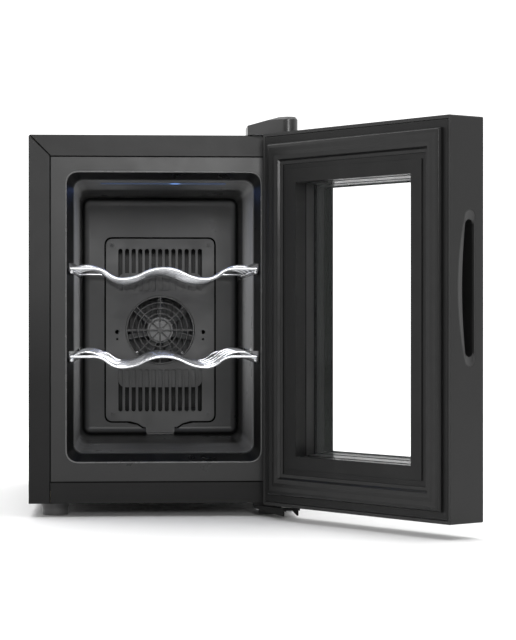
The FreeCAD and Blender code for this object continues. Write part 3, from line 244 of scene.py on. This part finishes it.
def liner_plastic():
    """Vacuum-formed plastic, with painted light on the cavity's walls, palest near the mouth and at the
    top of the back wall, and painted shade on the flare, the deep walls and the recess.
    """
    paint = Paint("liner_plastic", shade(0.04), 0.3, Specular_IOR_Level=0.22)
    paint.soft_edges(1.2 * MM)
    behind_face = paint.along(AXIS_Y, FRONT + 0.2 * MM, FRONT + 0.8 * MM)
    inside = paint.along(AXIS_Y, FRONT + 14 * MM, FRONT + 18 * MM)
    recess = paint.along(AXIS_Y, COVER_SEAT + 0.4 * MM, COVER_SEAT + 1 * MM)
    face = paint.mix(paint.noise(7), shade(0.023), shade(0.028))
    # Painted light: the back wall is painted paler towards its top.
    back = paint.mix(paint.along(AXIS_Z, TOP - 140 * MM, TOP - 60 * MM), shade(0.086), shade(0.15))
    # Painted shade: ceiling and floor are painted black towards the back wall.
    level = paint.mix(paint.along(AXIS_Y, FRONT + 150 * MM, FRONT + 185 * MM), shade(0.11), shade(0.006))
    # Painted light on the side walls near the front, then painted shade that turns them black further
    # back.
    side = paint.mix(paint.along(AXIS_Y, FRONT + 200 * MM, FRONT + 240 * MM), shade(0.2), shade(0.006))
    wall = paint.mix(paint.facing_along(AXIS_X), level, side)
    # Painted light: the cavity's walls are painted paler than the liner's face, though all are one
    # plastic.
    cavity = paint.mix(paint.facing_along(AXIS_Y), wall, back)
    # Painted shade: the flare behind the front face is painted black.
    mouth = paint.mix(behind_face, face, shade(0.003))
    lined = paint.mix(inside, mouth, cavity)
    # Painted shade: the recess behind the fan cover's seat is painted black.
    paint.blend_colours(recess, lined, shade(0.002))
    paint.blend_values(paint.noise(30), 0.27, 0.34, "Roughness")
    paint.bump(paint.noise(600, 2), 0.1, 0.02 * MM)
    return paint.material


def rubber(name, grey):
    """Soft matt rubber with a faintly uneven gloss."""
    paint = Paint(name, shade(grey), 0.4, Specular_IOR_Level=0.22, Coat_Weight=0.15, Coat_Roughness=0.12)
    paint.soft_edges(0.4 * MM)
    paint.blend_colours(paint.noise(30), shade(grey * 0.85), shade(grey * 1.2))
    paint.blend_values(paint.noise(90), 0.36, 0.46, "Roughness")
    paint.bump(paint.noise(900, 3), 0.2, 0.05 * MM)
    return paint.material


def metal(name, colour, roughness, stretch=None, metallic=1.0):
    """Bare metal, plated or brushed along the axis that the noise is stretched over."""
    paint = Paint(name, colour, roughness, Metallic=metallic)
    paint.soft_edges(0.3 * MM)
    mask = paint.noise(120, 5, stretch)
    darker = tuple(c * 0.86 for c in colour)
    paint.blend_colours(mask, darker, colour)
    paint.blend_values(mask, roughness * 0.7, roughness * 1.4, "Roughness")
    paint.bump(mask, 0.08, 0.05 * MM)
    return paint.material


def clear_glass(name):
    """Clear pane that mirrors more at low angles, with a faint film of dust in its gloss."""
    paint = Paint(name, (0.9, 0.95, 0.94), 0.02, Metallic=1.0)
    paint.blend_values(paint.noise(8), 0.015, 0.04, "Roughness")
    tilt = paint.node("ShaderNodeLayerWeight")
    steep = paint.node("ShaderNodeMath", operation="POWER")
    steep.inputs[1].default_value = 5
    paint.link(tilt.outputs["Facing"], steep.inputs[0])
    gloss = paint.node("ShaderNodeMapRange")
    gloss.inputs["To Min"].default_value = 0.008
    gloss.inputs["To Max"].default_value = 0.35
    paint.link(steep.outputs["Value"], gloss.inputs["Value"])
    paint.link(gloss.outputs["Result"], paint.shader.inputs["Alpha"])
    return paint.material


def light_strip():
    """Frosted blue lens lit from behind by one lamp in use."""
    paint = Paint("light_strip", (0.04, 0.06, 0.11), 0.35)
    rise = paint.along(AXIS_X, 5 * MM, 9 * MM)
    fall = paint.along(AXIS_X, 18 * MM, 13 * MM)
    lamp = paint.node("ShaderNodeMath", operation="MULTIPLY")
    paint.link(rise, lamp.inputs[0])
    paint.link(fall, lamp.inputs[1])
    spread = paint.node("ShaderNodeMapRange")
    spread.inputs["To Min"].default_value = 0.07
    spread.inputs["To Max"].default_value = 0.7
    paint.link(lamp.outputs["Value"], spread.inputs["Value"])
    paint.set("Emission Color", (0.2, 0.42, 1.0, 1))
    paint.link(spread.outputs["Result"], paint.shader.inputs["Emission Strength"])
    paint.bump(paint.noise(700, 2), 0.3, 0.05 * MM)
    return paint.material


def black_fins():
    """Black anodised fins, paler where the fan's opening lets light in on them."""
    paint = Paint("black_anodised", shade(0.003), 0.5, Specular_IOR_Level=0.08)
    paint.blend_colours(paint.around(FAN_AXIS, 38 * MM, 44 * MM), shade(0.16), shade(0.002))
    paint.bump(paint.noise(900, 2), 0.1, 0.02 * MM)
    return paint.material


def door_handle():
    """Moulded handle with painted shade that makes its slot darker than the scoop around it."""
    paint = Paint("handle_plastic", shade(0.02), 0.4)
    paint.soft_edges(0.5 * MM)
    edge = Vector(EDGE_WAY).dot(HINGE) + HALF_WIDTH + HINGE.x
    near = paint.along(EDGE_WAY, edge - 3.2 * MM, edge - 2 * MM)
    # Painted shade: the slot, deeper than the scoop, is painted darker.
    paint.blend_colours(near, shade(0.008), shade(0.022))
    paint.blend_values(near, 0.3, 0.42, "Specular IOR Level")
    paint.bump(paint.noise(1800, 2), 0.3, 0.04 * MM)
    return paint.material


def circuit_board():
    """Green solder mask with copper tracks under it."""
    paint = Paint("circuit_board", (0.02, 0.12, 0.05), 0.35)
    tracks = paint.node("ShaderNodeTexWave")
    tracks.inputs["Scale"].default_value = 90
    tracks.inputs["Distortion"].default_value = 6
    paint.link(paint.places, tracks.inputs["Vector"])
    paint.blend_colours(tracks.outputs["Fac"], (0.012, 0.09, 0.035), (0.03, 0.16, 0.07))
    paint.bump(tracks.outputs["Fac"], 0.2, 0.05 * MM)
    return paint.material


def insulating_foam():
    """Cream rigid foam with open cells."""
    paint = Paint("insulating_foam", (0.72, 0.62, 0.4), 0.9)
    cells = paint.node("ShaderNodeTexVoronoi")
    cells.inputs["Scale"].default_value = 500
    paint.link(paint.places, cells.inputs["Vector"])
    paint.blend_colours(cells.outputs["Distance"], (0.5, 0.42, 0.25), (0.8, 0.72, 0.5))
    paint.bump(cells.outputs["Distance"], 0.6, 0.4 * MM)
    return paint.material


def white_part(name, colour):
    """Pale ceramic or acetal with faint mottling."""
    paint = Paint(name, colour, 0.4)
    paint.soft_edges(0.2 * MM)
    paint.blend_colours(paint.noise(80), tuple(c * 0.9 for c in colour), colour)
    paint.bump(paint.noise(600), 0.1, 0.03 * MM)
    return paint.material


def flat_black(name, grey):
    """Matt black that gives almost no reflection, for print and for strips of painted shade in gaps."""
    paint = Paint(name, shade(grey), 0.75, Specular_IOR_Level=0.08)
    paint.blend_colours(paint.noise(30), shade(grey * 0.7), shade(grey * 1.3))
    paint.bump(paint.noise(1500, 2), 0.1, 0.01 * MM)
    return paint.material


def make_materials():
    return {
        "shell": powder_coat(),
        "door": moulded_black("door_plastic", 0.012, 0.38, gloss=0.3),
        "hinge_cover": moulded_black("hinge_plastic", 0.036, 0.3),
        "inner": moulded_black("inner_frame_plastic", 0.007, 0.38, gloss=0.18),
        "liner": liner_plastic(),
        "cover": moulded_black("cover_plastic", 0.074, 0.4, 900),
        "fan": moulded_black("fan_plastic", 0.012, 0.38),
        "dark": moulded_black("dark_plastic", 0.009, 0.5),
        "spacer": moulded_black("spacer_black", 0.012, 0.55, depth=0.008),
        "rubber": rubber("seal_rubber", 0.0035),
        "foot": rubber("foot_rubber", 0.09),
        "magnet": rubber("magnet_strip", 0.02),
        "chrome": metal("chrome", (0.8, 0.81, 0.83), 0.08, metallic=0.7),
        "zinc": metal("zinc_plate", (0.55, 0.56, 0.57), 0.3),
        "black_screw": metal("blackened_steel", (0.07, 0.07, 0.075), 0.35),
        "aluminium": metal("extruded_aluminium", (0.68, 0.69, 0.7), 0.3, (1, 1, 0.05)),
        "anodised": black_fins(),
        "guard": moulded_black("guard_plastic", 0.022, 0.3),
        "housing": moulded_black("fan_housing_plastic", 0.085, 0.4),
        "rotor": moulded_black("rotor_plastic", 0.26, 0.28),
        "handle": door_handle(),
        "brass": metal("brass_pin", (0.75, 0.6, 0.3), 0.22),
        "glass": clear_glass("pane_glass"),
        "front_glass": clear_glass("front_pane_glass"),
        "light": light_strip(),
        "border": flat_black("glass_border", 0.009),
        # Black strips of painted shade, laid in gaps that show only shadow.
        "shade_strip": flat_black("painted_shade_black", 0.002),
        # Painted highlight: the lip is much paler than the liner it belongs to.
        "lip": moulded_black("mouth_lip_highlight", 0.1, 0.25),
        "spacer_face": moulded_black("spacer_face", 0.02, 0.3, depth=0.005),
        "board": circuit_board(),
        "foam": insulating_foam(),
        "ceramic": white_part("module_ceramic", (0.8, 0.79, 0.75)),
        "acetal": white_part("acetal", (0.7, 0.69, 0.64)),
    }


FINISHES = {
    "shell": ["outer_wrap", "base_pan", "rear_panel", "bottom_hinge_bracket"],
    "liner": ["inner_liner"],
    "cover": ["fan_cover", "cover_screws"],
    "guard": ["inner_fan_guard"],
    "housing": ["inner_fan_frame"],
    "rotor": ["inner_fan_rotor"],
    "fan": ["hot_fan_frame", "hot_fan_rotor"],
    "door": ["door_outer_frame"],
    "handle": ["handle_liner"],
    "dark": ["module_seal", "temperature_sensor", "mains_inlet", "control_display",
             "power_supply_components"],
    "spacer": ["outer_spacer", "inner_spacer"],
    "foot": ["foot_front_left", "foot_front_right", "foot_rear_left", "foot_rear_right"],
    "magnet": ["gasket_magnets"],
    "chrome": ["upper_shelf_rods", "upper_shelf_wires", "lower_shelf_rods", "lower_shelf_wires"],
    "zinc": ["module_screws", "inlet_screws", "top_hinge_screws", "bottom_hinge_screws",
             "top_hinge_plate", "top_hinge_pin", "bottom_hinge_pin", "power_supply_tray"],
    "black_screw": ["rear_panel_screws"],
    "aluminium": ["cold_block", "hot_sink"],
    "anodised": ["cold_sink"],
    "brass": ["inlet_pins"],
    "inner": ["door_inner_frame"],
    "hinge_cover": ["top_hinge_cover"],
    "glass": ["inner_glass", "middle_glass"],
    "front_glass": ["front_glass"],
    "light": ["light_lens"],
    "board": ["led_board", "power_supply_board", "control_board"],
    "foam": ["foam_insulation"],
    "ceramic": ["thermoelectric_module"],
    "acetal": ["hinge_washer", "top_hinge_bush", "bottom_hinge_bush"],
}


def finish_nodes(materials):
    for finish, names in FINISHES.items():
        for name in names:
            mesh = NODES[name].data
            mesh.materials.clear()
            mesh.materials.append(materials[finish])


# ---------------------------------------------------------------- pieces drawn here


def new_piece(name, bm, material, body, smooth_angle=None, closed_door=False):
    """Turn a bmesh, drawn in the row frame, into a piece that rides on a body."""
    bmesh.ops.recalc_face_normals(bm, faces=bm.faces)
    if closed_door:
        bm.transform(TO_OPEN)
    mesh = bpy.data.meshes.new(name)
    bm.to_mesh(mesh)
    bm.free()
    mesh.materials.append(material)
    piece = bpy.data.objects.new(name, mesh)
    bpy.context.scene.collection.objects.link(piece)
    if smooth_angle is not None:
        mesh.polygons.foreach_set("use_smooth", [True] * len(mesh.polygons))
        mesh.set_sharp_from_angle(angle=math.radians(smooth_angle))
    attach(piece, body)
    return piece


def join_rings(bm, first, second):
    """Faces between two rings that have the same number of corners."""
    count = len(first)
    for n in range(count):
        m = (n + 1) % count
        bm.faces.new((first[n], first[m], second[m], second[n]))


def mitred_ring(bm, outline, profile):
    """Sweep a closed profile of (inset, height) round a rectangle, with mitred corners."""
    half_across, low, high, level = outline
    rings = []
    for inset, rise in profile:
        x = half_across - inset
        corners = [(-x, low + inset), (x, low + inset), (x, high - inset), (-x, high - inset)]
        rings.append([bm.verts.new((a, level + rise, b)) for a, b in corners])
    for ring, after in zip(rings, rings[1:] + rings[:1]):
        join_rings(bm, ring, after)


def rounded_profile(points, steps=5):
    """Round each corner of a closed profile by its own radius, given as the third number."""
    smooth = []
    for n, (x, y, radius) in enumerate(points):
        here = Vector((x, y))
        if not radius:
            smooth.append(tuple(here))
            continue
        before = (Vector(points[n - 1][:2]) - here).normalized()
        after = (Vector(points[(n + 1) % len(points)][:2]) - here).normalized()
        bend = before.angle(after)
        reach = radius / math.tan(bend / 2)
        start, end = here + before * reach, here + after * reach
        for step in range(steps + 1):
            t = step / steps
            smooth.append(tuple(start * (1 - t) ** 2 + here * 2 * t * (1 - t) + end * t**2))
    return smooth


def door_gasket(materials):
    """Magnetic seal: two soft rolls, an outer lip and an inner lip, mitred at the corners."""
    points = [
        (0.0, 0.1, 0), (0.2, 1.8, 1.0), (1.4, 4.0, 1.4), (4.2, 4.45, 2.0), (8.0, 4.2, 2.0),
        (11.5, 4.5, 2.5), (15.2, 4.1, 2.0), (17.0, 1.4, 1.0), (20.0, 0.9, 0.4), (20.0, 0.1, 0),
    ]
    profile = [(GASKET_INSET + x * MM, y * MM) for x, y in rounded_profile(points)]
    bm = bmesh.new()
    mitred_ring(bm, door_rectangle(), profile)
    seal = new_piece("soft_gasket", bm, materials["rubber"], "door", 40, closed_door=True)
    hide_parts("door_gasket")


def door_rectangle():
    """The closed door's outline: half width, low and high edges, and its inner face's level."""
    return HALF_WIDTH, DOOR_LOW, DOOR_HIGH, INNER_FACE


def frame_plate(bm, outer, inner, low, high):
    """A flat rectangular frame between two levels; outer and inner are (left, right, bottom, top)."""
    rings = []
    for left, right, bottom, top in (outer, inner):
        corners = [(left, bottom), (right, bottom), (right, top), (left, top)]
        for y in (low, high):
            rings.append([bm.verts.new((x, y, z)) for x, z in corners])
    order = [rings[0], rings[1], rings[3], rings[2]]
    for ring, after in zip(order, order[1:] + order[:1]):
        join_rings(bm, ring, after)


def glass_print(materials):
    """Black border on the back of the front pane, hiding the frame and spacers from the front."""
    level = INNER_FACE - FRONT_PANE[0] - 0.2 * MM
    across, low, high = WINDOW
    inner = (PRINT_SIDE - across, across - PRINT_SIDE, low + PRINT_END, high - PRINT_END)
    edge = 3 * MM
    outer = (edge - HALF_WIDTH, HALF_WIDTH - edge, DOOR_LOW + edge, DOOR_HIGH - edge)
    bm = bmesh.new()
    frame_plate(bm, outer, inner, level, level + PRINT_DEPTH)
    new_piece("glass_border_print", bm, materials["border"], "door", closed_door=True)


def spacer_faces(materials):
    """Sloped strips that face the spacers between the panes, above and below the window."""
    across, low, high = WINDOW
    clear, thick, slope = 0.1 * MM, 1.6 * MM, 0.13
    bm = bmesh.new()
    for near_pane, far_pane in ((INNER_PANE, MIDDLE_PANE), (MIDDLE_PANE, FRONT_PANE)):
        start = INNER_FACE - far_pane[0] + clear
        end = INNER_FACE - near_pane[1] - clear
        for edge, side in ((low, 1), (high, -1)):
            drops = [(INNER_FACE - 10 * MM - y) * slope for y in (start, end)]
            section = [(start, edge + side * drops[0]), (end, edge + side * drops[1]),
                       (end, edge - side * thick), (start, edge - side * thick)]
            ends = [[bm.verts.new((x, y, z)) for y, z in section] for x in (-across, across)]
            join_rings(bm, *ends)
            for face in ends:
                bm.faces.new(face)
    new_piece("spacer_faces", bm, materials["spacer_face"], "door", closed_door=True)


def pane_edges(materials):
    """Black lines of painted shade where the panes' edges meet their spacers."""
    across, low, high = WINDOW
    grow, line = 1.3 * MM, 0.35 * MM
    inner = (-across - grow, across + grow, low - grow, high + grow)
    outer = tuple(edge + side * line for edge, side in zip(inner, (-1, 1, -1, 1)))
    bm = bmesh.new()
    for near, far in (INNER_PANE, MIDDLE_PANE):
        frame_plate(bm, outer, inner, INNER_FACE - far, INNER_FACE - near)
    # Painted shade along the pane edges, drawn as thin black rings.
    new_piece("pane_edge_shade", bm, materials["shade_strip"], "door", closed_door=True)


def strip(bm, points, width, low, high):
    """A flat strip between two levels, to the left of a line through (x, z) points."""
    places = [Vector(point) for point in points]
    last = len(places) - 1
    rows = []
    for n, here in enumerate(places):
        before = places[n - 1] if n else here * 2 - places[1]
        after = places[n + 1] if n < last else here * 2 - places[n - 1]
        a, b = (here - before).normalized(), (after - here).normalized()
        side = Vector((-(a + b).y, (a + b).x)).normalized()
        edge = here + side * width / max(0.4, side.dot(Vector((-a.y, a.x))))
        section = ((here, low), (edge, low), (edge, high), (here, high))
        rows.append([bm.verts.new((spot.x, y, spot.y)) for spot, y in section])
    bm.faces.new(rows[0])
    bm.faces.new(rows[-1])
    for first, second in zip(rows, rows[1:]):
        join_rings(bm, first, second)


def seams(materials):
    """Black strips of painted shade: between the front bars and the liner, and along the bars' mitres.
    """
    bm = bmesh.new()
    reach = HALF_WIDTH - BAR
    low, high = wrap_low.z + BAR, TOP - BAR
    half_line = 0.6 * MM
    outer = (-reach - half_line, reach + half_line, low - half_line, high + half_line)
    inner = (half_line - reach, reach - half_line, low + half_line, high - half_line)
    proud, sunk = FRONT - 0.05 * MM, FRONT + 0.3 * MM
    frame_plate(bm, outer, inner, FRONT - 0.06 * MM, sunk)
    for side in (-1, 1):
        mitre = [(side * (HALF_WIDTH - inset), TOP - inset) for inset in (1.2 * MM, BAR - 0.2 * MM)]
        strip(bm, mitre, 1.1 * MM, proud, sunk)
        upright = [(side * (reach + 0.2 * MM), z) for z in (wrap_low.z + 0.5 * MM, low)]
        strip(bm, upright, 0.6 * MM, proud, sunk)
    # Painted shade in the seams, drawn as thin black strips.
    new_piece("front_seam", bm, materials["shade_strip"], "cabinet")


def cover_outline():
    """The fan cover's edge as (x, z), from the drain tongue's foot round to its other foot."""
    half, low, high, corner = 58.75, 73.3, 271.3, 7
    neck = [(14.6, 60.0, 0), (17.0, 66.0, 5), (24.0, 70.7, 3), (35.5, low, 4)]
    right = [*neck, (half, low, corner), (half, high, corner)]
    left = [(-x, z, radius) for x, z, radius in reversed(right)]
    return [(x * MM, z * MM) for x, z in rounded_profile([*right, *left])]


def cover_gap(materials):
    """Black strip of painted shade in the gap around the fan cover."""
    bm = bmesh.new()
    edge = list(reversed(cover_outline()))
    strip(bm, edge, 1.7 * MM, COVER_SEAT - 0.1 * MM, COVER_SEAT + 1.5 * MM)
    # Painted shade: the strip stands in for the shadow in the gap.
    new_piece("cover_gap_shade", bm, materials["shade_strip"], "cabinet")


def mouth_bead(materials):
    """Rounded lip around the liner's mouth, painted paler than the liner as a painted highlight along
    its edge.
    """
    x, low, high, radius = 91 * MM, 51 * MM, 322 * MM, 12 * MM
    corners = [(x, low, radius), (x, high, radius), (-x, high, radius), (-x, low, radius)]
    points = rounded_profile(corners, 10)
    sides, bead = 8, 0.75 * MM
    bm = bmesh.new()
    rows = []
    for n, here in enumerate(points):
        place = Vector(here)
        after, before = Vector(points[(n + 1) % len(points)]), Vector(points[n - 1])
        along = (after - before).normalized()
        outward = Vector((along.y, -along.x))
        row = []
        for step in range(sides):
            turn = math.tau * step / sides
            spot = place + outward * (0.25 * MM + bead * math.cos(turn))
            level = FRONT + 0.35 * MM - bead * math.sin(turn)
            row.append(bm.verts.new((spot.x, level, spot.y)))
        rows.append(row)
    for first, second in zip(rows, rows[1:] + rows[:1]):
        join_rings(bm, first, second)
    new_piece("mouth_lip_highlight", bm, materials["lip"], "cabinet", 60)


# ---------------------------------------------------------------- stage


def make_floor():
    mesh = bpy.data.meshes.new("floor")
    left, near, right, far = -6.0, -7.0, 6.0, 1.6
    corners = [(left, near, 0), (right, near, 0), (right, far, 0), (left, far, 0)]
    mesh.from_pydata(corners, [], [(0, 1, 2, 3)])
    floor = bpy.data.objects.new("floor", mesh)
    bpy.context.scene.collection.objects.link(floor)
    paint = Paint("studio_floor", (0.94, 0.94, 0.94), 0.6)
    paint.blend_colours(paint.noise(2), (0.93, 0.93, 0.93), (0.95, 0.95, 0.95))
    mesh.materials.append(paint.material)


def make_world():
    """White studio sweep, with a dim wall on the side that the cabinet's front faces."""
    world = bpy.data.worlds.new("studio")
    world.use_nodes = True
    nodes, links = world.node_tree.nodes, world.node_tree.links
    direction = nodes.new("ShaderNodeTexCoord")
    parts = nodes.new("ShaderNodeSeparateXYZ")
    links.new(direction.outputs["Generated"], parts.inputs["Vector"])
    wall = nodes.new("ShaderNodeMapRange")
    wall.interpolation_type = "SMOOTHSTEP"
    wall.inputs["From Min"].default_value = -0.6
    wall.inputs["From Max"].default_value = -0.05
    wall.inputs["To Min"].default_value = FRONT_WALL
    wall.inputs["To Max"].default_value = SWEEP
    links.new(parts.outputs["Y"], wall.inputs["Value"])
    background = nodes["Background"]
    background.inputs["Color"].default_value = (1, 1, 1, 1)
    links.new(wall.outputs["Result"], background.inputs["Strength"])
    bpy.context.scene.world = world


def area_light(name, place, target, size, power, colour=(1, 1, 1)):
    data = bpy.data.lights.new(name, "AREA")
    data.shape = "RECTANGLE"
    data.size, data.size_y = size
    data.energy = power
    data.color = colour
    light = bpy.data.objects.new(name, data)
    light.location = place
    light.visible_camera = False
    light.rotation_euler = (Vector(target) - Vector(place)).to_track_quat("-Z", "Y").to_euler()
    bpy.context.scene.collection.objects.link(light)
    return light


def make_lights():
    middle = (0.05, -0.1, 0.19)
    area_light("key", (0.4, -0.8, 0.65), middle, (0.35, 0.35), 0.9)
    area_light("into_cavity", (0.1, -2.4, 0.6), (0, 0.1, 0.19), (0.5, 0.4), 14)
    area_light("floor_wash", (0, 0.9, 3.2), (0, 0.2, 0), (3.5, 3.5), 90)
    lens = (0, -0.167, TOP - 46 * MM)
    area_light("lamp_glow", lens, (0, lens[1], 0), (0.11, 0.008), 0.02, (0.25, 0.4, 1))
    for side in (-1, 1):
        place = (side * 0.02, -0.12, 0.2)
        wall_light = area_light(f"wall_light_{side}", place, (side, -0.08, 0.2), (0.16, 0.16), 0.12)
        wall_light.visible_glossy = False


def make_camera():
    """Camera square to the cabinet's front, turned a little to the right to take in the door."""
    data = bpy.data.cameras.new("camera")
    data.lens = 122.45
    data.sensor_width = 36
    camera = bpy.data.objects.new("camera", data)
    camera.location = (-0.02545, FRONT - 2.036, 0.188)
    camera.rotation_euler = (math.radians(90 - 0.119), 0, math.radians(-3.189))
    bpy.context.scene.collection.objects.link(camera)
    bpy.context.scene.camera = camera


bpy.context.scene.view_settings.view_transform = "Standard"
materials = make_materials()
finish_nodes(materials)
door_gasket(materials)
glass_print(materials)
spacer_faces(materials)
pane_edges(materials)
seams(materials)
cover_gap(materials)
mouth_bead(materials)
make_floor()
make_world()
make_lights()
make_camera()
